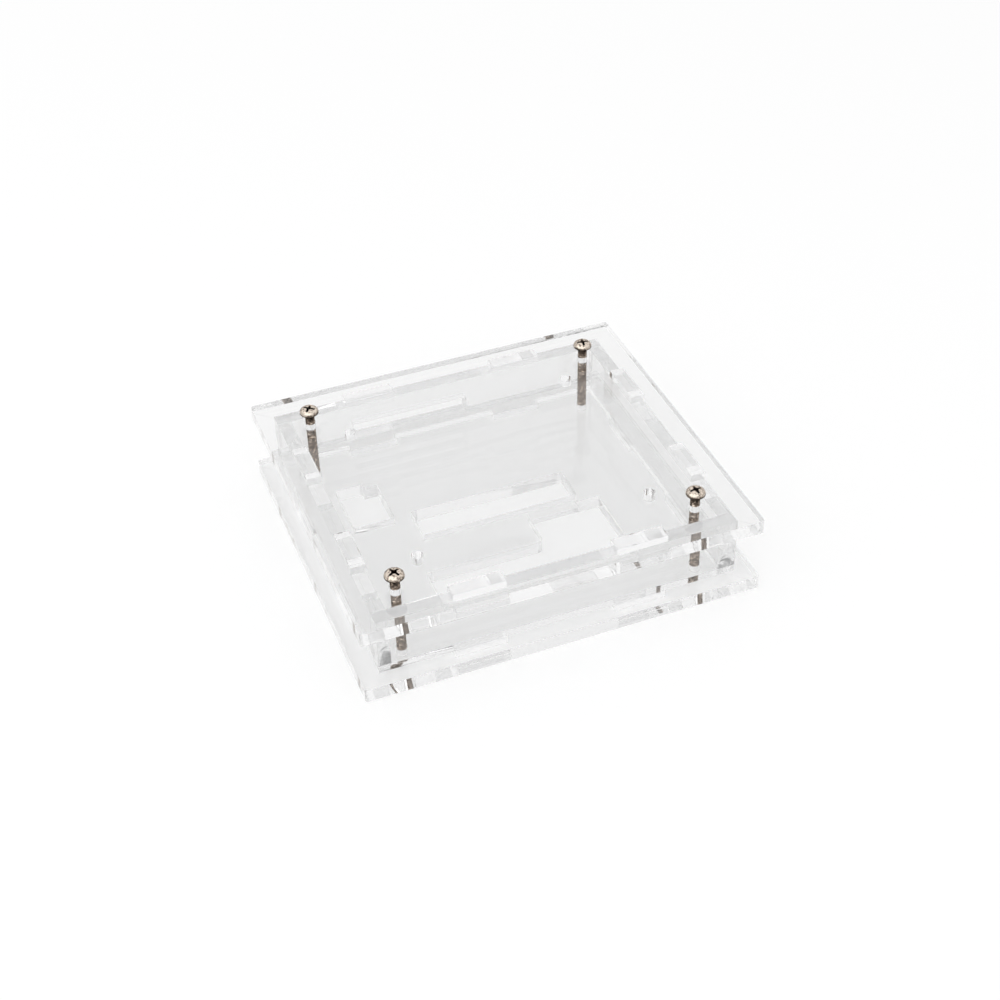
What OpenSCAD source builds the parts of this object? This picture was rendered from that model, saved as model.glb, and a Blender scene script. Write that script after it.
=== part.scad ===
// Clear acrylic case for a small circuit module: two flat plates, four walls
// that plug into them with tabs, and four long pan head screws.
// Origin: middle of the underside. X runs along the front, Y to the back, Z up.

/* [Sheet] */
// Thickness of the acrylic sheet that every panel is cut from
sheet_t = 3; // [2:0.5:4]
// Width of the top and bottom plates, along the front
plate_w = 83; // [70:0.5:100]
// Depth of the top and bottom plates, front to back
plate_d = 75.5; // [64:0.5:92]
// Radius on the plates' four corners
plate_corner_r = 0.5; // [0.2:0.1:3]

/* [Walls] */
// Clear height between the two plates
inner_h = 11.5; // [8:0.5:20]
// How far the plates reach past the two side walls
overhang_side = 4; // [3:0.25:5]
// How far the plates reach past the front and back walls
overhang_front = 3.5; // [2.5:0.25:4]

/* [Tabs] */
// Length of each wall tab along its wall
tab_len = 10.6; // [7:0.2:12]
// From an end of the front or back wall to the middle of the nearest tab
tab_inset_front = 20.7; // [18:0.1:22]
// From an end of a side wall to the middle of the nearest tab
tab_inset_side = 16.85; // [14:0.05:18]
// Gap left by the cutter on each side of a tab in its slot
tab_gap = 0.1; // [0.05:0.05:0.2]

/* [Screws] */
// Nominal diameter of the four screws
screw_d = 2; // [1.6:0.1:2.4]
// How far the underside of a head stands above the top plate
screw_stand = 2.5; // [0.5:0.1:5]
// Diameter of the pan head
head_d = 4; // [3.6:0.1:4.8]
// Height of the pan head
head_h = 1.2; // [1:0.1:1.6]
// From the inner face of a side wall to the axis of a screw
screw_inset_side = 3.25; // [2.5:0.05:5]
// From the inner face of the front or back wall to the axis of a screw
screw_inset_front = 3.6; // [2.5:0.1:6]
// Play between a screw and its hole, on the diameter
screw_play = 0.3; // [0.2:0.05:0.5]

/* [Cross recess] */
// Length of the recess from tip to tip
recess_span = 2.2; // [1.6:0.1:2.4]
// Width of one wing of the recess
recess_wing = 0.5; // [0.4:0.05:0.6]
// Depth of the recess below the top of the head
recess_depth = 0.8; // [0.5:0.1:0.9]

/* [Board holes in the top plate] */
// Diameter of the four small holes
board_hole_d = 2.4; // [1.6:0.1:3]
// From a screw to the nearest board hole, along the front
board_inset_x = 6.75; // [5:0.05:9]
// From a screw to the nearest board hole, front to back
board_inset_y = 6.65; // [5:0.05:9]

/* [Side port in the bottom plate] */
// Bare floor between the left wall and the port
side_port_from_left = 5.1; // [3:0.1:7]
// Bare floor between the back wall and the port
side_port_from_back = 12.15; // [10:0.05:16]
// Width of the port along the front
side_port_w = 8.8; // [7:0.1:10]
// Depth of the port front to back
side_port_d = 13.2; // [10:0.1:15]
// Width of the shallow step at its back right corner
side_step_w = 3; // [1:0.1:5]
// Depth of that step
side_step_d = 1.5; // [0.5:0.1:4]

/* [Header slot in the bottom plate] */
// Bare floor between the side port and the left end of the slot
header_from_side_port = 3.7; // [2:0.1:6]
// Bare floor between the right wall and the right end of the slot
header_from_right = 17.2; // [15:0.1:20]
// Width of the slot front to back
header_w = 8; // [6:0.1:9]

/* [Terminal port in the bottom plate] */
// Bare floor between the front wall and the port
port_from_front = 9.25; // [7:0.05:10]
// Bare floor between the right wall and the wide part of the port
port_from_right = 13.2; // [11:0.1:16]
// Bare floor between the left wall and the end of the narrow arm
arm_from_left = 14.3; // [12:0.1:17]
// Width of the wide part along the front
port_w = 16.1; // [12:0.1:18]
// Width of the arm front to back
arm_w = 9.4; // [6:0.1:10]
// Depth of the tongue that is left between the arm and the header slot
tongue_d = 11.1; // [8:0.1:12]
// Width of the strip that is left between the header slot and the wide part
strip_d = 2.4; // [1.5:0.1:4]
// Radius on the end of the tongue
tongue_r = 1.2; // [0.4:0.1:2]

/* [Cable slot in the back wall] */
// From the left end of the back wall to the slot
cable_from_left = 16.5; // [13:0.1:20]
// Length of the slot along the wall
cable_len = 26; // [20:0.1:30]
// Height of the slot
cable_h = 3.8; // [2.5:0.1:4.5]
// Lower edge of the slot above the bottom plate
cable_rise = 2.7; // [1.5:0.1:3.5]

/* [Hidden] */

$fn = 64;
// Extra length that a cut runs past each face
cut = 1;

case_h = inner_h + 2 * sheet_t;
box_w = plate_w - 2 * overhang_side;
box_d = plate_d - 2 * overhang_front;
side_len = box_d - 2 * sheet_t;
// Middle planes of the side walls and of the front and back walls
side_mid = box_w / 2 - sheet_t / 2;
front_mid = box_d / 2 - sheet_t / 2;
slot_len = tab_len + 2 * tab_gap;
slot_w = sheet_t + 2 * tab_gap;
tab_pitch_front = box_w - 2 * tab_inset_front;
tab_pitch_side = side_len - 2 * tab_inset_side;

// Inner faces of the right wall and of the back wall; the others mirror them
bay_x = box_w / 2 - sheet_t;
bay_y = box_d / 2 - sheet_t;

// The screws stand on their tips, level with the underside of the case
screw_len = case_h + screw_stand;
screw_hole_d = screw_d + screw_play;
screw_pitch_x = 2 * (bay_x - screw_inset_side);
screw_pitch_y = 2 * (bay_y - screw_inset_front);
board_pitch_x = screw_pitch_x - 2 * board_inset_x;
board_pitch_y = screw_pitch_y - 2 * board_inset_y;

// Edges of the three ports, worked out from the walls round the bay
side_port_x = -bay_x + side_port_from_left;
side_port_back = bay_y - side_port_from_back;
port_front = -bay_y + port_from_front;
port_right = bay_x - port_from_right;
port_x = port_right - port_w;
arm_x = -bay_x + arm_from_left;
arm_back = port_front + arm_w;
header_x = side_port_x + side_port_w + header_from_side_port;
header_right = bay_x - header_from_right;
header_front = arm_back + tongue_d;

// Head profile: a short straight rim, then a round shoulder up to a low dome
rim_h = 0.25 * head_h;
dome_h = 0.1 * head_h;
shoulder_r = head_h - rim_h - dome_h;
shoulder_steps = 8;
// Chamfer at the tip of the shank
tip_chamfer = 0.2 * screw_d;

head_profile = concat(
    [[0, 0], [head_d / 2, 0]],
    [for (i = [0:shoulder_steps])
        let (a = 90 * i / shoulder_steps)
        [head_d / 2 - shoulder_r * (1 - cos(a)), rim_h + shoulder_r * sin(a)]],
    [[0, head_h]]
);

module acrylic() {
    color([0.86, 0.9, 0.92, 0.45]) children();
}

module nickel() {
    color([0.62, 0.56, 0.5]) children();
}

// Copies its child to the four corners of a rectangle centred on the origin
module at_corners(pitch_x, pitch_y) {
    for (sx = [-1, 1], sy = [-1, 1])
        translate([sx * pitch_x / 2, sy * pitch_y / 2]) children();
}

// Flat outline of both plates, corners just broken
module plate_outline() {
    union() {
        square([plate_w - 2 * plate_corner_r, plate_d], center = true);
        square([plate_w, plate_d - 2 * plate_corner_r], center = true);
        at_corners(plate_w - 2 * plate_corner_r, plate_d - 2 * plate_corner_r) circle(r = plate_corner_r);
    }
}

// The eight slots that the wall tabs plug into
module tab_slots() {
    for (side = [-1, 1], along = [-1, 1]) {
        translate([along * tab_pitch_front / 2, side * front_mid])
            square([slot_len, slot_w], center = true);
        translate([side * side_mid, along * tab_pitch_side / 2])
            square([slot_w, slot_len], center = true);
    }
}

// Four round holes drilled through a plate that lies on the XY plane
module drill(pitch_x, pitch_y, hole_d) {
    at_corners(pitch_x, pitch_y)
        translate([0, 0, -cut]) cylinder(d = hole_d, h = sheet_t + 2 * cut);
}

module side_port() {
    difference() {
        translate([side_port_x, side_port_back - side_port_d]) square([side_port_w, side_port_d]);
        translate([side_port_x + side_port_w - side_step_w, side_port_back - side_step_d])
            square([side_step_w + cut, side_step_d + cut]);
    }
}

module header_slot() {
    translate([header_x, header_front]) square([header_right - header_x, header_w]);
}

// L shaped port: a wide part at the right and a narrow arm to its left.
// The corner of plate between them is the rounded end of the tongue.
module terminal_port() {
    translate([port_x, port_front]) square([port_w, header_front - strip_d - port_front]);
    translate([arm_x, port_front]) square([port_x - arm_x + cut, arm_w]);
    difference() {
        translate([port_x - tongue_r, arm_back - cut]) square([tongue_r + cut, tongue_r + cut]);
        translate([port_x - tongue_r, arm_back + tongue_r]) circle(r = tongue_r);
    }
}

module bottom_plate() {
    acrylic()
        difference() {
            linear_extrude(sheet_t) plate_outline();
            translate([0, 0, -cut])
                linear_extrude(sheet_t + 2 * cut) {
                    tab_slots();
                    side_port();
                    header_slot();
                    terminal_port();
                }
            drill(screw_pitch_x, screw_pitch_y, screw_hole_d);
        }
}

module top_plate() {
    acrylic()
        translate([0, 0, case_h - sheet_t])
            difference() {
                linear_extrude(sheet_t) plate_outline();
                translate([0, 0, -cut]) linear_extrude(sheet_t + 2 * cut) tab_slots();
                drill(screw_pitch_x, screw_pitch_y, screw_hole_d);
                drill(board_pitch_x, board_pitch_y, board_hole_d);
            }
}

// A wall in its own flat outline: a strip with two tabs above and two below
module wall_outline(len, tab_pitch) {
    translate([-len / 2, sheet_t]) square([len, inner_h]);
    for (along = [-1, 1])
        translate([along * tab_pitch / 2 - tab_len / 2, 0]) square([tab_len, case_h]);
}

// Stands a flat outline up, centred on the XZ plane
module upright() {
    rotate([90, 0, 0]) translate([0, 0, -sheet_t / 2]) linear_extrude(sheet_t) children();
}

module front_wall() {
    acrylic()
        translate([0, -front_mid, 0]) upright() wall_outline(box_w, tab_pitch_front);
}

module back_wall() {
    acrylic()
        translate([0, front_mid, 0])
            upright()
                difference() {
                    wall_outline(box_w, tab_pitch_front);
                    translate([-box_w / 2 + cable_from_left, sheet_t + cable_rise]) square([cable_len, cable_h]);
                }
}

module side_wall(side) {
    acrylic()
        translate([side * side_mid, 0, 0])
            rotate([0, 0, 90]) upright() wall_outline(side_len, tab_pitch_side);
}

module left_wall() {
    side_wall(-1);
}

module right_wall() {
    side_wall(1);
}

// Cross recess: four wings that narrow towards the bottom of a small cone
module cross_recess() {
    translate([0, 0, head_h - recess_depth]) {
        for (turn = [0, 90])
            rotate([0, 0, turn])
                rotate([90, 0, 0])
                    translate([0, 0, -recess_wing / 2])
                        linear_extrude(recess_wing)
                            polygon([
                                [-recess_wing / 2, 0], [recess_wing / 2, 0],
                                [recess_span / 2, recess_depth], [recess_span / 2, recess_depth + cut],
                                [-recess_span / 2, recess_depth + cut], [-recess_span / 2, recess_depth]
                            ]);
        cylinder(d1 = recess_wing, d2 = recess_span * 0.62, h = recess_depth);
    }
}

// One pan head screw, standing on its tip
module screw() {
    nickel() {
        cylinder(d1 = screw_d - 2 * tip_chamfer, d2 = screw_d, h = tip_chamfer);
        translate([0, 0, tip_chamfer]) cylinder(d = screw_d, h = screw_len - tip_chamfer);
        translate([0, 0, screw_len])
            difference() {
                rotate_extrude() polygon(head_profile);
                cross_recess();
            }
    }
}

module screw_at(side, end) {
    translate([side * screw_pitch_x / 2, end * screw_pitch_y / 2, 0]) screw();
}

module screw_front_left() {
    screw_at(-1, -1);
}

module screw_front_right() {
    screw_at(1, -1);
}

module screw_back_left() {
    screw_at(-1, 1);
}

module screw_back_right() {
    screw_at(1, 1);
}

bottom_plate();
top_plate();
front_wall();
back_wall();
left_wall();
right_wall();
screw_front_left();
screw_front_right();
screw_back_left();
screw_back_right();
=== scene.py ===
"""Clear acrylic case for a circuit module, dressed for its picture.

The panels are cut from clear sheet, so each is rebuilt here with its real
polished faces and fine laser lines on the cut edges. The screws get a
rolled thread, a cross recess and a nickel finish with painted shade in the recess, under the head
and in the grooves.
"""
import math

import bmesh
import bpy
from mathutils import Matrix, Vector

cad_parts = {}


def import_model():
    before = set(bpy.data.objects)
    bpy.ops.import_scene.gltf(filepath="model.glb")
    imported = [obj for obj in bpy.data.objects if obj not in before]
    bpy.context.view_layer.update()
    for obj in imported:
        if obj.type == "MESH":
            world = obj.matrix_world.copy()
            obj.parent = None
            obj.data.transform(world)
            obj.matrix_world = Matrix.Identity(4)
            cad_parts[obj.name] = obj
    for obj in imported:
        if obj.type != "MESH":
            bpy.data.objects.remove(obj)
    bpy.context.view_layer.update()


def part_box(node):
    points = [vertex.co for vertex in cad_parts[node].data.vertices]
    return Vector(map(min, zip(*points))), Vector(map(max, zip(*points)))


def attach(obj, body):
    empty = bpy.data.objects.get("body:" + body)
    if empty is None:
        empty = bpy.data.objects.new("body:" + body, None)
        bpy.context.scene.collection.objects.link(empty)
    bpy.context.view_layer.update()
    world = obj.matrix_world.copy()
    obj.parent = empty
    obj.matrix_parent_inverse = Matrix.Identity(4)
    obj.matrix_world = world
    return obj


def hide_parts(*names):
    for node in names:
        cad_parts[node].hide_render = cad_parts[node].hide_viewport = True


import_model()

MM = 0.001

# Photo view, worked out from the plates' edges in the picture
CAMERA_AT = Vector((-95.9, -255.3, 233.7)) * MM
VIEW_AZIMUTH = math.radians(20.71)
VIEW_ELEVATION = math.radians(39.71)
VIEW_ROLL = math.radians(-1.32)
LENS = 61.4
SENSOR = 36.0

# Sheet and its broken edges
SHEET_T = 3.0 * MM
EDGE_BREAK = 0.08 * MM
EDGE_BREAK_STEPS = 2
BROKEN_FROM_ANGLE = math.radians(50)
SHEET_CREASE_ANGLE = math.radians(30)
# How far each face is drawn in, so that a film of air parts two panels that touch
AIR_GAP = 0.012 * MM
MERGE_DISTANCE = 0.001 * MM
# Two directions count as the same where the cosine between them is above this
SAME_WAY = 0.9

# Polished faces
ACRYLIC_IOR = 1.49
ACRYLIC_TINT = (0.92, 0.921, 0.921, 1.0)
HAZE_SIZE = 9.0 * MM
HAZE_DETAIL = 6.0
HAZE_ROUGHNESS = 0.012
WAVE_SIZE = 14.0 * MM
WAVE_DETAIL = 1.0
WAVE_DEPTH = 0.004 * MM

# Cut faces
CUT_TINT = (0.82, 0.822, 0.822, 1.0)
CUT_ROUGHNESS = 0.5
CUT_ROUGHNESS_SWING = 0.4
CUT_LINE_PITCH = 0.25 * MM
CUT_LINE_DETAIL = 3.0
CUT_LINE_DEPTH = 0.02 * MM
CUT_LINE_STRENGTH = 0.5
# Length of a laser line's marks, in thicknesses of sheet
CUT_LINE_RUN = 8.0

# Shank of a screw
TIP_CHAMFER = 0.4 * MM
THREAD_D = 2.0 * MM
THREAD_PITCH = 0.4 * MM
THREAD_DEPTH = 0.2 * MM
GROOVE_STEEPNESS = 2.6
CREST_FLAT = 0.15
NECK_D = 1.95 * MM
NECK_LEN = 0.25 * MM

# Head of a screw: its curve is a quarter ellipse at a roundness of 2, and squarer above 2
HEAD_D = 4.0 * MM
HEAD_H = 1.12 * MM
HEAD_ROUND = 2.7
# Share of the head's rows that its flat underside takes
UNDERSIDE_SHARE = 0.125

# Cross recess: its wings narrow towards the bottom by these tapers
RECESS_SPAN = 2.9 * MM
RECESS_WING = 0.5 * MM
RECESS_DEPTH = 0.82 * MM
WING_LENGTH_TAPER = 0.6
WING_WIDTH_TAPER = 0.2
# The cone's tip radius is a share of the wings' width, and it opens by a share of the span
CONE_TIP_SHARE = 0.4
CONE_OPENING_SHARE = 0.25
QUARTER_TURN = math.pi / 2

# How fine the screws' meshes are
ROWS_PER_TURN = 10.0
SHANK_FACES = 36
HEAD_ROWS = 40.0
HEAD_FACES = 64
CONE_FACES = 24
SCREW_CREASE_ANGLE = math.radians(38)

# Nickel plate, and how far painted shade and the shank's darker base turn it brown and dark
BRIGHT_NICKEL = (0.74, 0.65, 0.56, 1.0)
BROWN_NICKEL = (0.22, 0.17, 0.135, 1.0)
# DARK_NICKEL is mostly reached where painted shade lies, in the recess and under the rim
DARK_NICKEL = (0.035, 0.027, 0.022, 1.0)
BROWN_AT = 0.4
DARK_AT = 0.9
SPOT_SIZE = 0.5 * MM
SPOT_DETAIL = 4.0
SPOT_CONTRAST = 0.45
NICKEL_SMOOTHEST = 0.1
NICKEL_ROUGHEST = 0.22
MARK_SIZE = 0.12 * MM
MARK_DETAIL = 2.0
MARK_DEPTH = 0.004 * MM
MARK_STRENGTH = 0.6

# Where painted shade sits on a screw, over a darker base on the whole shank
PAINTED_SHADE_AND_DARKENING = "painted_shade_and_darkening"
RECESS_SHADE = 3.0
RIM_SHADE_SHARE = 0.45
SHANK_DARKENING = 0.3
GROOVE_SHADE = 0.4
NECK_SHADE_FROM = 0.87
NECK_SHADE_RISE = 4.0

# A noise texture's values lie mostly between these two
NOISE_LOW = 0.3
NOISE_HIGH = 0.7

# Floor, with the share of plain white that is mixed in where it is seen
FLOOR_HALF = 4.0
FLOOR_DROP = 0.05 * MM
FLOOR_COLOUR = (0.9, 0.9, 0.9, 1.0)
FLOOR_PLAIN_SHARE = 0.4

# Light tent, and one large softbox over the front left
HORIZON = 0.3
OVERHEAD = 1.0
SKY_FULL_AT = 0.5
SKY_STRENGTH = 1.0
SOFTBOX_AT = Vector((-0.5, -0.35, 0.85))
SOFTBOX_SIZE = 1.6
SOFTBOX_POWER = 4.3

# How often light may bounce off or pass through the clear sheet
CLEAR_BOUNCES = 128
SEE_THROUGH_BOUNCES = 32

# Each panel and the axis that its thickness lies along: 0 is X, 1 is Y, 2 is Z
PANELS = {
    "bottom_plate": 2,
    "top_plate": 2,
    "front_wall": 1,
    "back_wall": 1,
    "left_wall": 0,
    "right_wall": 0,
}
# How far each screw has been turned in, so that no two crosses line up
SCREW_TURNS = {
    "screw_front_left": math.radians(28),
    "screw_front_right": math.radians(4),
    "screw_back_left": math.radians(52),
    "screw_back_right": math.radians(-7),
}
# Sizes that all four screws share, by the names of the screw tree's inputs
SCREW_SIZES = {
    "Pitch": THREAD_PITCH,
    "Thread Diameter": THREAD_D,
    "Thread Depth": THREAD_DEPTH,
    "Tip Chamfer": TIP_CHAMFER,
    "Neck Diameter": NECK_D,
    "Neck Length": NECK_LEN,
    "Head Diameter": HEAD_D,
    "Head Height": HEAD_H,
    "Head Roundness": HEAD_ROUND,
    "Recess Span": RECESS_SPAN,
    "Recess Wing": RECESS_WING,
    "Recess Depth": RECESS_DEPTH,
}


def new_material(name):
    """Empty node material: returns the material, its nodes, links and output."""
    material = bpy.data.materials.new(name)
    material.use_nodes = True
    tree = material.node_tree
    tree.nodes.clear()
    output = tree.nodes.new("ShaderNodeOutputMaterial")
    return material, tree.nodes, tree.links, output


def noise(nodes, links, coordinates, size, detail):
    """Noise on the given coordinates, its largest marks about one size across."""
    texture = nodes.new("ShaderNodeTexNoise")
    texture.inputs["Scale"].default_value = 1.0 / size
    texture.inputs["Detail"].default_value = detail
    links.new(coordinates, texture.inputs["Vector"])
    return texture.outputs["Fac"]


def spread(nodes, links, value, low, high):
    """Maps the middle of a noise onto the range from low to high."""
    fit = nodes.new("ShaderNodeMapRange")
    fit.inputs["From Min"].default_value = NOISE_LOW
    fit.inputs["From Max"].default_value = NOISE_HIGH
    fit.inputs["To Min"].default_value = low
    fit.inputs["To Max"].default_value = high
    links.new(value, fit.inputs["Value"])
    return fit.outputs["Result"]


def raised(nodes, links, height, depth, strength=1.0):
    """Small relief of the given depth, as a normal."""
    bump = nodes.new("ShaderNodeBump")
    bump.inputs["Strength"].default_value = strength
    bump.inputs["Distance"].default_value = depth
    links.new(height, bump.inputs["Height"])
    return bump.outputs["Normal"]


def acrylic_shader(nodes, tint):
    """Clear solid acrylic, before its finish."""
    shader = nodes.new("ShaderNodeBsdfPrincipled")
    shader.inputs["Base Color"].default_value = tint
    shader.inputs["IOR"].default_value = ACRYLIC_IOR
    shader.inputs["Transmission Weight"].default_value = 1.0
    return shader


def clear_acrylic(name):
    """Polished faces of the cast sheet: slightly wavy, with faint patches of haze."""
    material, nodes, links, output = new_material(name)
    shader = acrylic_shader(nodes, ACRYLIC_TINT)
    place = nodes.new("ShaderNodeTexCoord").outputs["Object"]
    haze = noise(nodes, links, place, HAZE_SIZE, HAZE_DETAIL)
    wave = noise(nodes, links, place, WAVE_SIZE, WAVE_DETAIL)
    links.new(spread(nodes, links, haze, 0.0, HAZE_ROUGHNESS), shader.inputs["Roughness"])
    links.new(raised(nodes, links, wave, WAVE_DEPTH), shader.inputs["Normal"])
    links.new(shader.outputs["BSDF"], output.inputs["Surface"])
    return material


def cut_acrylic(name, thickness_axis):
    """Laser-cut edge: half matt, with fine lines that run through the sheet's thickness."""
    material, nodes, links, output = new_material(name)
    shader = acrylic_shader(nodes, CUT_TINT)
    place = nodes.new("ShaderNodeTexCoord").outputs["Object"]
    stretch = nodes.new("ShaderNodeMapping")
    scale = [1.0] * 3
    scale[thickness_axis] = CUT_LINE_PITCH / (CUT_LINE_RUN * SHEET_T)
    stretch.inputs["Scale"].default_value = scale
    links.new(place, stretch.inputs["Vector"])
    lines = noise(nodes, links, stretch.outputs["Vector"], CUT_LINE_PITCH, CUT_LINE_DETAIL)
    smoothest = (1.0 - CUT_ROUGHNESS_SWING) * CUT_ROUGHNESS
    roughest = (1.0 + CUT_ROUGHNESS_SWING) * CUT_ROUGHNESS
    links.new(spread(nodes, links, lines, smoothest, roughest), shader.inputs["Roughness"])
    relief = raised(nodes, links, lines, CUT_LINE_DEPTH, CUT_LINE_STRENGTH)
    links.new(relief, shader.inputs["Normal"])
    links.new(shader.outputs["BSDF"], output.inputs["Surface"])
    return material


def nickel(name):
    """Nickel plate over steel: bright on the dome, with painted shade turning it brown and dark
    in the recess, under the head's rim and in the thread's grooves, a darker base on the shank,
    and fine spots all over."""
    material, nodes, links, output = new_material(name)
    shader = nodes.new("ShaderNodeBsdfPrincipled")
    shader.inputs["Metallic"].default_value = 1.0
    place = nodes.new("ShaderNodeTexCoord").outputs["Object"]
    spots = noise(nodes, links, place, SPOT_SIZE, SPOT_DETAIL)
    marks = noise(nodes, links, place, MARK_SIZE, MARK_DETAIL)
    # The stored values hold painted shade in the recess, under the rim, in the grooves and under
    # the head, plus the shank's darker base.
    stored = nodes.new("ShaderNodeAttribute")
    stored.attribute_name = PAINTED_SHADE_AND_DARKENING
    spotted = nodes.new("ShaderNodeMath")
    spotted.operation = "ADD"
    links.new(stored.outputs["Fac"], spotted.inputs[0])
    links.new(spread(nodes, links, spots, -SPOT_CONTRAST, SPOT_CONTRAST), spotted.inputs[1])
    tone = nodes.new("ShaderNodeValToRGB")
    tone.color_ramp.elements[0].position = 0.0
    tone.color_ramp.elements[0].color = BRIGHT_NICKEL
    tone.color_ramp.elements[1].position = DARK_AT
    tone.color_ramp.elements[1].color = DARK_NICKEL
    middle = tone.color_ramp.elements.new(BROWN_AT)
    middle.color = BROWN_NICKEL
    links.new(spotted.outputs[0], tone.inputs["Fac"])
    links.new(tone.outputs["Color"], shader.inputs["Base Color"])
    polish = spread(nodes, links, spots, NICKEL_SMOOTHEST, NICKEL_ROUGHEST)
    links.new(polish, shader.inputs["Roughness"])
    relief = raised(nodes, links, marks, MARK_DEPTH, MARK_STRENGTH)
    links.new(relief, shader.inputs["Normal"])
    links.new(shader.outputs["BSDF"], output.inputs["Surface"])
    return material


def link_object(name, mesh):
    """A new object in the scene, at the origin."""
    piece = bpy.data.objects.new(name, mesh)
    bpy.context.scene.collection.objects.link(piece)
    return piece


def shrink(work, gap):
    """Moves every face inwards by the same small gap, square corners included."""
    for vert in work.verts:
        normals = []
        for face in vert.link_faces:
            if all(face.normal.dot(known) < SAME_WAY for known in normals):
                normals.append(face.normal.copy())
        vert.co -= gap * sum(normals, Vector())


def panel(node, thickness_axis, face_material, cut_material):
    """A panel of clear sheet: the node's outline, an air gap smaller all round,
    with its edges broken and its cut faces in their own material."""
    mesh = bpy.data.objects[node].data.copy()
    mesh.name = node + "_sheet"
    work = bmesh.new()
    work.from_mesh(mesh)
    bmesh.ops.remove_doubles(work, verts=work.verts, dist=MERGE_DISTANCE)
    work.normal_update()
    shrink(work, AIR_GAP)
    work.normal_update()
    for face in work.faces:
        polished = abs(face.normal[thickness_axis]) > SAME_WAY
        face.material_index = 0 if polished else 1
        face.smooth = True
    work.to_mesh(mesh)
    work.free()
    mesh.materials.clear()
    mesh.materials.append(face_material)
    mesh.materials.append(cut_material)
    mesh.set_sharp_from_angle(angle=SHEET_CREASE_ANGLE)
    piece = link_object(node + "_sheet", mesh)
    edge = piece.modifiers.new("broken_edge", "BEVEL")
    edge.width = EDGE_BREAK
    edge.segments = EDGE_BREAK_STEPS
    edge.limit_method = "ANGLE"
    edge.angle_limit = BROKEN_FROM_ANGLE
    edge.harden_normals = True
    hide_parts(node)
    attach(piece, "root")


def put(tree, socket, value):
    """Gives a socket a plain value, or links another socket to it."""
    if isinstance(value, bpy.types.NodeSocket):
        tree.links.new(value, socket)
    else:
        socket.default_value = value


def calc(tree, operation, first, second=0.0):
    """One sum on sockets or plain numbers."""
    node = tree.nodes.new("ShaderNodeMath")
    node.operation = operation
    put(tree, node.inputs[0], first)
    put(tree, node.inputs[1], second)
    return node.outputs[0]


def half(tree, value):
    return calc(tree, "DIVIDE", value, 2.0)


def above_zero(tree, value):
    """The value, or 0 where it is negative."""
    return calc(tree, "MAXIMUM", value, 0.0)


def zero_to_one(tree, value):
    """The value, held between 0 and 1."""
    return calc(tree, "MINIMUM", above_zero(tree, value), 1.0)


def choose(tree, test, otherwise, chosen):
    """Chosen where the test is 1, otherwise where it is 0."""
    difference = calc(tree, "SUBTRACT", chosen, otherwise)
    return calc(tree, "ADD", otherwise, calc(tree, "MULTIPLY", test, difference))


def vector(tree, x=0.0, y=0.0, z=0.0):
    """A vector put together from its three parts."""
    parts = tree.nodes.new("ShaderNodeCombineXYZ")
    put(tree, parts.inputs["X"], x)
    put(tree, parts.inputs["Y"], y)
    put(tree, parts.inputs["Z"], z)
    return parts.outputs["Vector"]


def position(tree):
    """Where a point of the geometry is, as its X, Y and Z."""
    split = tree.nodes.new("ShaderNodeSeparateXYZ")
    point = tree.nodes.new("GeometryNodeInputPosition")
    put(tree, split.inputs["Vector"], point.outputs["Position"])
    return split.outputs["X"], split.outputs["Y"], split.outputs["Z"]


def moved(tree, geometry, place):
    """The geometry with each of its points put at its own new place."""
    move = tree.nodes.new("GeometryNodeSetPosition")
    put(tree, move.inputs["Geometry"], geometry)
    put(tree, move.inputs["Position"], place)
    return move.outputs["Geometry"]


def lifted(tree, geometry, height, turn):
    """The geometry turned about the screw's axis and raised to a height."""
    move = tree.nodes.new("GeometryNodeTransform")
    put(tree, move.inputs["Geometry"], geometry)
    put(tree, move.inputs["Translation"], vector(tree, z=height))
    put(tree, move.inputs["Rotation"], (0.0, 0.0, turn))
    return move.outputs["Geometry"]


def keep(tree, geometry, name, value):
    """Keeps a value at every point of the geometry, for the material to read by name."""
    node = tree.nodes.new("GeometryNodeStoreNamedAttribute")
    put(tree, node.inputs["Geometry"], geometry)
    put(tree, node.inputs["Name"], name)
    put(tree, node.inputs["Value"], value)
    return node.outputs["Geometry"]


def turned(tree, rows, around, radius, height, angle):
    """A grid rolled into a closed turned shape, its rows running along the profile."""
    grid = tree.nodes.new("GeometryNodeMeshGrid")
    grid.inputs["Size X"].default_value = 1.0
    grid.inputs["Size Y"].default_value = 1.0
    grid.inputs["Vertices X"].default_value = around + 1
    put(tree, grid.inputs["Vertices Y"], calc(tree, "ADD", rows, 1.0))
    x = calc(tree, "MULTIPLY", radius, calc(tree, "COSINE", angle))
    y = calc(tree, "MULTIPLY", radius, calc(tree, "SINE", angle))
    rolled = moved(tree, grid.outputs["Mesh"], vector(tree, x, y, height))
    merge = tree.nodes.new("GeometryNodeMergeByDistance")
    merge.inputs["Distance"].default_value = MERGE_DISTANCE
    put(tree, merge.inputs["Geometry"], rolled)
    return merge.outputs["Geometry"]


def grid_place(tree):
    """How far round, as an angle, and how far along, from 0 to 1, a point of the grid is."""
    x, y, _ = position(tree)
    angle = calc(tree, "MULTIPLY", x, math.tau)
    return angle, calc(tree, "ADD", y, 0.5)


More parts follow.
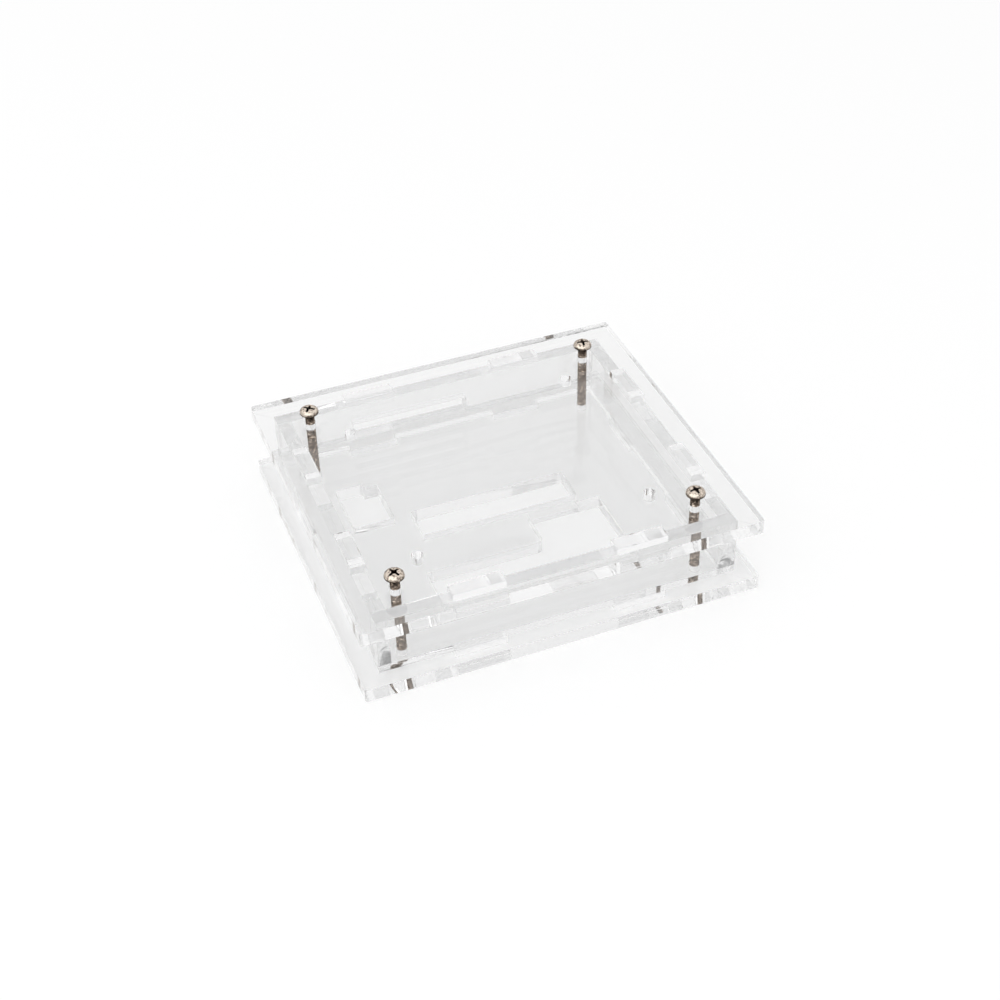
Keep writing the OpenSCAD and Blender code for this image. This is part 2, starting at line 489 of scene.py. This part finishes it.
def threaded_shank(tree, sizes):
    """Rolled thread with a blunt pointed tip and a plain neck under the head.
    One more row at each end lies on the axis and closes the shank."""
    angle, along = grid_place(tree)
    pitches = calc(tree, "DIVIDE", sizes["Length"], sizes["Pitch"])
    thread_rows = calc(tree, "ROUND", calc(tree, "MULTIPLY", pitches, ROWS_PER_TURN))
    rows = calc(tree, "ADD", thread_rows, 2.0)
    row = calc(tree, "SUBTRACT", calc(tree, "MULTIPLY", along, rows), 1.0)
    share = zero_to_one(tree, calc(tree, "DIVIDE", row, thread_rows))
    height = calc(tree, "MULTIPLY", share, sizes["Length"])

    turns_up = calc(tree, "DIVIDE", height, sizes["Pitch"])
    turns = calc(tree, "SUBTRACT", turns_up, calc(tree, "DIVIDE", angle, math.tau))
    from_crest = calc(tree, "SUBTRACT", calc(tree, "FRACT", turns), 0.5)
    from_crest = calc(tree, "ABSOLUTE", from_crest)
    groove = calc(tree, "MULTIPLY", from_crest, GROOVE_STEEPNESS)
    groove = zero_to_one(tree, calc(tree, "SUBTRACT", groove, CREST_FLAT))
    outer = half(tree, sizes["Thread Diameter"])
    radius = calc(tree, "SUBTRACT", outer, calc(tree, "MULTIPLY", groove, sizes["Thread Depth"]))

    neck_from = calc(tree, "SUBTRACT", sizes["Length"], sizes["Neck Length"])
    in_neck = calc(tree, "GREATER_THAN", height, neck_from)
    radius = choose(tree, in_neck, radius, half(tree, sizes["Neck Diameter"]))
    tip = calc(tree, "ADD", calc(tree, "SUBTRACT", outer, sizes["Tip Chamfer"]), height)
    radius = calc(tree, "MINIMUM", radius, tip)

    after_first = calc(tree, "GREATER_THAN", row, -0.5)
    before_last = calc(tree, "LESS_THAN", row, calc(tree, "ADD", thread_rows, 0.5))
    open_row = calc(tree, "MULTIPLY", after_first, before_last)
    radius = calc(tree, "MULTIPLY", radius, open_row)
    return turned(tree, rows, SHANK_FACES, radius, height, angle)


def head_blank(tree, sizes):
    """Pan head: a flat underside, then one full curve up and over to the middle of the top."""
    angle, along = grid_place(tree)
    under = calc(tree, "MULTIPLY", along, 1.0 / UNDERSIDE_SHARE)
    under = calc(tree, "MINIMUM", under, 1.0)
    lift = calc(tree, "SUBTRACT", along, UNDERSIDE_SHARE)
    lift = above_zero(tree, calc(tree, "DIVIDE", lift, 1.0 - UNDERSIDE_SHARE))
    sweep = calc(tree, "MULTIPLY", lift, QUARTER_TURN)
    power = calc(tree, "DIVIDE", 2.0, sizes["Head Roundness"])
    inward = calc(tree, "POWER", above_zero(tree, calc(tree, "COSINE", sweep)), power)
    upward = calc(tree, "POWER", above_zero(tree, calc(tree, "SINE", sweep)), power)
    reach = calc(tree, "MULTIPLY", half(tree, sizes["Head Diameter"]), under)
    radius = calc(tree, "MULTIPLY", reach, inward)
    rise = calc(tree, "MULTIPLY", upward, sizes["Head Height"])
    height = calc(tree, "ADD", sizes["Length"], rise)
    return turned(tree, HEAD_ROWS, HEAD_FACES, radius, height, angle)


def recess_wings(tree, sizes, turn):
    """Two wings of the cross recess, one on each side, narrower towards the bottom."""
    full_depth = calc(tree, "MULTIPLY", sizes["Recess Depth"], 2.0)
    cube = tree.nodes.new("GeometryNodeMeshCube")
    size = vector(tree, sizes["Recess Span"], sizes["Recess Wing"], full_depth)
    put(tree, cube.inputs["Size"], size)
    x, y, z = position(tree)
    level = calc(tree, "DIVIDE", z, sizes["Recess Depth"])
    length = calc(tree, "ADD", 1.0, calc(tree, "MULTIPLY", level, WING_LENGTH_TAPER))
    width = calc(tree, "ADD", 1.0, calc(tree, "MULTIPLY", level, WING_WIDTH_TAPER))
    x = calc(tree, "MULTIPLY", x, length)
    y = calc(tree, "MULTIPLY", y, width)
    tapered = moved(tree, cube.outputs["Mesh"], vector(tree, x, y, z))
    top = calc(tree, "ADD", sizes["Length"], sizes["Head Height"])
    return lifted(tree, tapered, top, turn)


def recess_cone(tree, sizes):
    """The pointed middle of the recess, where the driver's tip sits."""
    cone = tree.nodes.new("GeometryNodeMeshCone")
    cone.inputs["Vertices"].default_value = CONE_FACES
    tip = calc(tree, "MULTIPLY", sizes["Recess Wing"], CONE_TIP_SHARE)
    opening = calc(tree, "MULTIPLY", sizes["Recess Span"], CONE_OPENING_SHARE)
    put(tree, cone.inputs["Radius Bottom"], tip)
    put(tree, cone.inputs["Radius Top"], calc(tree, "ADD", tip, opening))
    put(tree, cone.inputs["Depth"], calc(tree, "MULTIPLY", sizes["Recess Depth"], 2.0))
    top = calc(tree, "ADD", sizes["Length"], sizes["Head Height"])
    bottom = calc(tree, "SUBTRACT", top, sizes["Recess Depth"])
    return lifted(tree, cone.outputs["Mesh"], bottom, 0.0)


def recessed_head(tree, sizes):
    """The pan head with its cross recess cut out."""
    cut = tree.nodes.new("GeometryNodeMeshBoolean")
    cut.operation = "DIFFERENCE"
    cut.solver = "EXACT"
    put(tree, cut.inputs["Mesh 1"], head_blank(tree, sizes))
    put(tree, cut.inputs["Mesh 2"], recess_wings(tree, sizes, 0.0))
    put(tree, cut.inputs["Mesh 2"], recess_wings(tree, sizes, QUARTER_TURN))
    put(tree, cut.inputs["Mesh 2"], recess_cone(tree, sizes))
    return cut.outputs["Mesh"]


def axis_place(tree):
    """How far from the screw's axis, and how high, a point is."""
    x, y, z = position(tree)
    x_squared = calc(tree, "MULTIPLY", x, x)
    y_squared = calc(tree, "MULTIPLY", y, y)
    return calc(tree, "SQRT", calc(tree, "ADD", x_squared, y_squared)), z


def head_painted_shade(tree, sizes):
    """0 on the dome, rising with the depth in the recess and towards the rim's underside: painted
    shade.
    """
    radius, height = axis_place(tree)
    share = calc(tree, "DIVIDE", radius, half(tree, sizes["Head Diameter"]))
    left = calc(tree, "SUBTRACT", 1.0, calc(tree, "POWER", share, sizes["Head Roundness"]))
    power = calc(tree, "DIVIDE", 1.0, sizes["Head Roundness"])
    curve = calc(tree, "POWER", above_zero(tree, left), power)
    dome = calc(tree, "MULTIPLY", curve, sizes["Head Height"])
    above = calc(tree, "SUBTRACT", height, sizes["Length"])
    # Painted shade, darker the deeper a point lies in the cross recess.
    depth = calc(tree, "DIVIDE", calc(tree, "SUBTRACT", dome, above), sizes["Recess Depth"])
    # Painted shade under the head's rim, fading up its side.
    rim_top = calc(tree, "MULTIPLY", sizes["Head Height"], RIM_SHADE_SHARE)
    rim = calc(tree, "SUBTRACT", 1.0, calc(tree, "DIVIDE", above, rim_top))
    return calc(tree, "MAXIMUM", calc(tree, "MULTIPLY", depth, RECESS_SHADE), rim)


def thread_darkening_and_shade(tree, sizes):
    """A darker base all over the shank, with painted shade towards the bottom of the grooves and
    close under the head.
    """
    radius, height = axis_place(tree)
    # Painted shade towards the bottom of the thread's grooves.
    inside = calc(tree, "SUBTRACT", half(tree, sizes["Thread Diameter"]), radius)
    groove = calc(tree, "DIVIDE", inside, sizes["Thread Depth"])
    groove = calc(tree, "MULTIPLY", groove, GROOVE_SHADE)
    # Painted shade close under the head.
    near_head = calc(tree, "DIVIDE", height, sizes["Length"])
    near_head = above_zero(tree, calc(tree, "SUBTRACT", near_head, NECK_SHADE_FROM))
    near_head = calc(tree, "MULTIPLY", near_head, NECK_SHADE_RISE)
    # A darker base over the whole shank, plus the painted shade.
    return calc(tree, "ADD", SHANK_DARKENING, calc(tree, "ADD", groove, near_head))


def screw_tree():
    """Geometry Nodes for one cross recess pan head screw, standing at a given place."""
    tree = bpy.data.node_groups.new("pan_head_screw", "GeometryNodeTree")
    tree.interface.new_socket("Geometry", in_out="OUTPUT", socket_type="NodeSocketGeometry")
    kinds = {name: "NodeSocketFloat" for name in ["Length", *SCREW_SIZES, "Turn"]}
    kinds["Place"] = "NodeSocketVector"
    kinds["Finish"] = "NodeSocketMaterial"
    for name, kind in kinds.items():
        tree.interface.new_socket(name, in_out="INPUT", socket_type=kind)
    sizes = tree.nodes.new("NodeGroupInput").outputs

    # Painted shade on the shank and head is stored for the nickel material.
    shank = keep(tree, threaded_shank(tree, sizes), PAINTED_SHADE_AND_DARKENING, thread_darkening_and_shade(tree, sizes))
    head = keep(tree, recessed_head(tree, sizes), PAINTED_SHADE_AND_DARKENING, head_painted_shade(tree, sizes))
    join = tree.nodes.new("GeometryNodeJoinGeometry")
    put(tree, join.inputs["Geometry"], shank)
    put(tree, join.inputs["Geometry"], head)

    stand = tree.nodes.new("GeometryNodeTransform")
    put(tree, stand.inputs["Geometry"], join.outputs["Geometry"])
    put(tree, stand.inputs["Translation"], sizes["Place"])
    put(tree, stand.inputs["Rotation"], vector(tree, z=sizes["Turn"]))
    realize = tree.nodes.new("GeometryNodeRealizeInstances")
    put(tree, realize.inputs["Geometry"], stand.outputs["Geometry"])
    finish = tree.nodes.new("GeometryNodeSetMaterial")
    put(tree, finish.inputs["Geometry"], realize.outputs["Geometry"])
    put(tree, finish.inputs["Material"], sizes["Finish"])
    output = tree.nodes.new("NodeGroupOutput")
    put(tree, output.inputs["Geometry"], finish.outputs["Geometry"])
    return tree


def screw(node, turn, tree, material):
    """A threaded screw in the place and to the height of the CAD's plain one."""
    low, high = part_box(node)
    low = Vector(low)
    high = Vector(high)
    values = dict(SCREW_SIZES)
    values["Length"] = high.z - low.z - HEAD_H
    values["Turn"] = turn
    values["Place"] = ((low.x + high.x) / 2, (low.y + high.y) / 2, low.z)
    values["Finish"] = material
    piece = link_object(node + "_thread", bpy.data.meshes.new(node + "_thread"))
    builder = piece.modifiers.new("builder", "NODES")
    builder.node_group = tree
    for item in tree.interface.items_tree:
        if item.in_out == "INPUT":
            builder[item.identifier] = values[item.name]
    depsgraph = bpy.context.evaluated_depsgraph_get()
    mesh = bpy.data.meshes.new_from_object(piece.evaluated_get(depsgraph))
    piece.modifiers.clear()
    piece.data = mesh
    mesh.shade_smooth()
    mesh.set_sharp_from_angle(angle=SCREW_CREASE_ANGLE)
    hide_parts(node)
    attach(piece, "root")


def place_camera():
    """Camera where the photo's own stood, turned and rolled as it was."""
    level = math.cos(VIEW_ELEVATION)
    back = Vector((
        -math.sin(VIEW_AZIMUTH) * level,
        -math.cos(VIEW_AZIMUTH) * level,
        math.sin(VIEW_ELEVATION),
    ))
    right = Vector((0, 0, 1)).cross(back).normalized()
    up = back.cross(right)
    turned_right = right * math.cos(VIEW_ROLL) + up * math.sin(VIEW_ROLL)
    turned_up = up * math.cos(VIEW_ROLL) - right * math.sin(VIEW_ROLL)
    data = bpy.data.cameras.new("camera")
    data.lens = LENS
    data.sensor_width = SENSOR
    camera = bpy.data.objects.new("camera", data)
    turn = Matrix((turned_right, turned_up, back)).transposed().to_4x4()
    camera.matrix_world = Matrix.Translation(CAMERA_AT) @ turn
    bpy.context.scene.collection.objects.link(camera)
    bpy.context.scene.camera = camera


def either(nodes, links, first, second):
    """1 where either of two tests on a ray is 1."""
    test = nodes.new("ShaderNodeMath")
    test.operation = "MAXIMUM"
    links.new(first, test.inputs[0])
    links.new(second, test.inputs[1])
    return test.outputs[0]


def pale_floor(name):
    """Seen directly or through the clear sheet the floor is close to white, and it
    keeps a share of the real light on it, so that the case's shadow shows."""
    material, nodes, links, output = new_material(name)
    lit = nodes.new("ShaderNodeBsdfDiffuse")
    lit.inputs["Color"].default_value = FLOOR_COLOUR
    plain = nodes.new("ShaderNodeEmission")
    plain.inputs["Strength"].default_value = 1.0
    path = nodes.new("ShaderNodeLightPath")
    seen = either(nodes, links, path.outputs["Is Camera Ray"], path.outputs["Is Glossy Ray"])
    seen = either(nodes, links, seen, path.outputs["Is Transmission Ray"])
    share = nodes.new("ShaderNodeMath")
    share.operation = "MULTIPLY"
    share.inputs[1].default_value = FLOOR_PLAIN_SHARE
    links.new(seen, share.inputs[0])
    mix = nodes.new("ShaderNodeMixShader")
    links.new(share.outputs[0], mix.inputs["Fac"])
    links.new(lit.outputs["BSDF"], mix.inputs[1])
    links.new(plain.outputs["Emission"], mix.inputs[2])
    links.new(mix.outputs["Shader"], output.inputs["Surface"])
    return material


def floor():
    """Flat floor, a hair below the case."""
    mesh = bpy.data.meshes.new("floor")
    half_side = FLOOR_HALF
    corners = [
        (-half_side, -half_side, 0),
        (half_side, -half_side, 0),
        (half_side, half_side, 0),
        (-half_side, half_side, 0),
    ]
    mesh.from_pydata(corners, [], [(0, 1, 2, 3)])
    piece = link_object("floor", mesh)
    piece.location.z = -FLOOR_DROP
    piece.data.materials.append(pale_floor("pale_floor"))


def softbox(name, location, size, power):
    """Square softbox, aimed at the case."""
    data = bpy.data.lights.new(name, "AREA")
    data.shape = "SQUARE"
    data.size = size
    data.energy = power
    lamp = bpy.data.objects.new(name, data)
    lamp.location = location
    lamp.rotation_euler = (-location).to_track_quat("-Z", "Y").to_euler()
    bpy.context.scene.collection.objects.link(lamp)


def world():
    """Soft tent of light: white overhead, dimmer towards the horizon."""
    sky = bpy.data.worlds.new("sky")
    sky.use_nodes = True
    bpy.context.scene.world = sky
    nodes = sky.node_tree.nodes
    links = sky.node_tree.links
    background = nodes["Background"]
    coordinates = nodes.new("ShaderNodeTexCoord")
    split = nodes.new("ShaderNodeSeparateXYZ")
    fade = nodes.new("ShaderNodeValToRGB")
    fade.color_ramp.elements[0].position = 0.0
    fade.color_ramp.elements[0].color = (HORIZON, HORIZON, HORIZON, 1)
    fade.color_ramp.elements[1].position = SKY_FULL_AT
    fade.color_ramp.elements[1].color = (OVERHEAD, OVERHEAD, OVERHEAD, 1)
    links.new(coordinates.outputs["Generated"], split.inputs["Vector"])
    links.new(split.outputs["Z"], fade.inputs["Fac"])
    links.new(fade.outputs["Color"], background.inputs["Color"])
    background.inputs["Strength"].default_value = SKY_STRENGTH


def light_paths():
    """Clear sheet over clear sheet needs long light paths, and no glass blurred along them,
    because blurred glass would darken the floor under the case."""
    cycles = bpy.context.scene.cycles
    cycles.max_bounces = CLEAR_BOUNCES
    cycles.transmission_bounces = CLEAR_BOUNCES
    cycles.glossy_bounces = CLEAR_BOUNCES
    cycles.transparent_max_bounces = SEE_THROUGH_BOUNCES
    cycles.blur_glossy = 0.0


place_camera()
world()
floor()
softbox("key", SOFTBOX_AT, SOFTBOX_SIZE, SOFTBOX_POWER)
light_paths()

faces = clear_acrylic("clear_acrylic")
cuts = [cut_acrylic("cut_edge_" + letter, axis) for axis, letter in enumerate("xyz")]
for node, axis in PANELS.items():
    panel(node, axis, faces, cuts[axis])
plating = nickel("nickel")
tree = screw_tree()
for node, turn in SCREW_TURNS.items():
    screw(node, turn, tree, plating)

bpy.context.scene.view_settings.view_transform = "Standard"
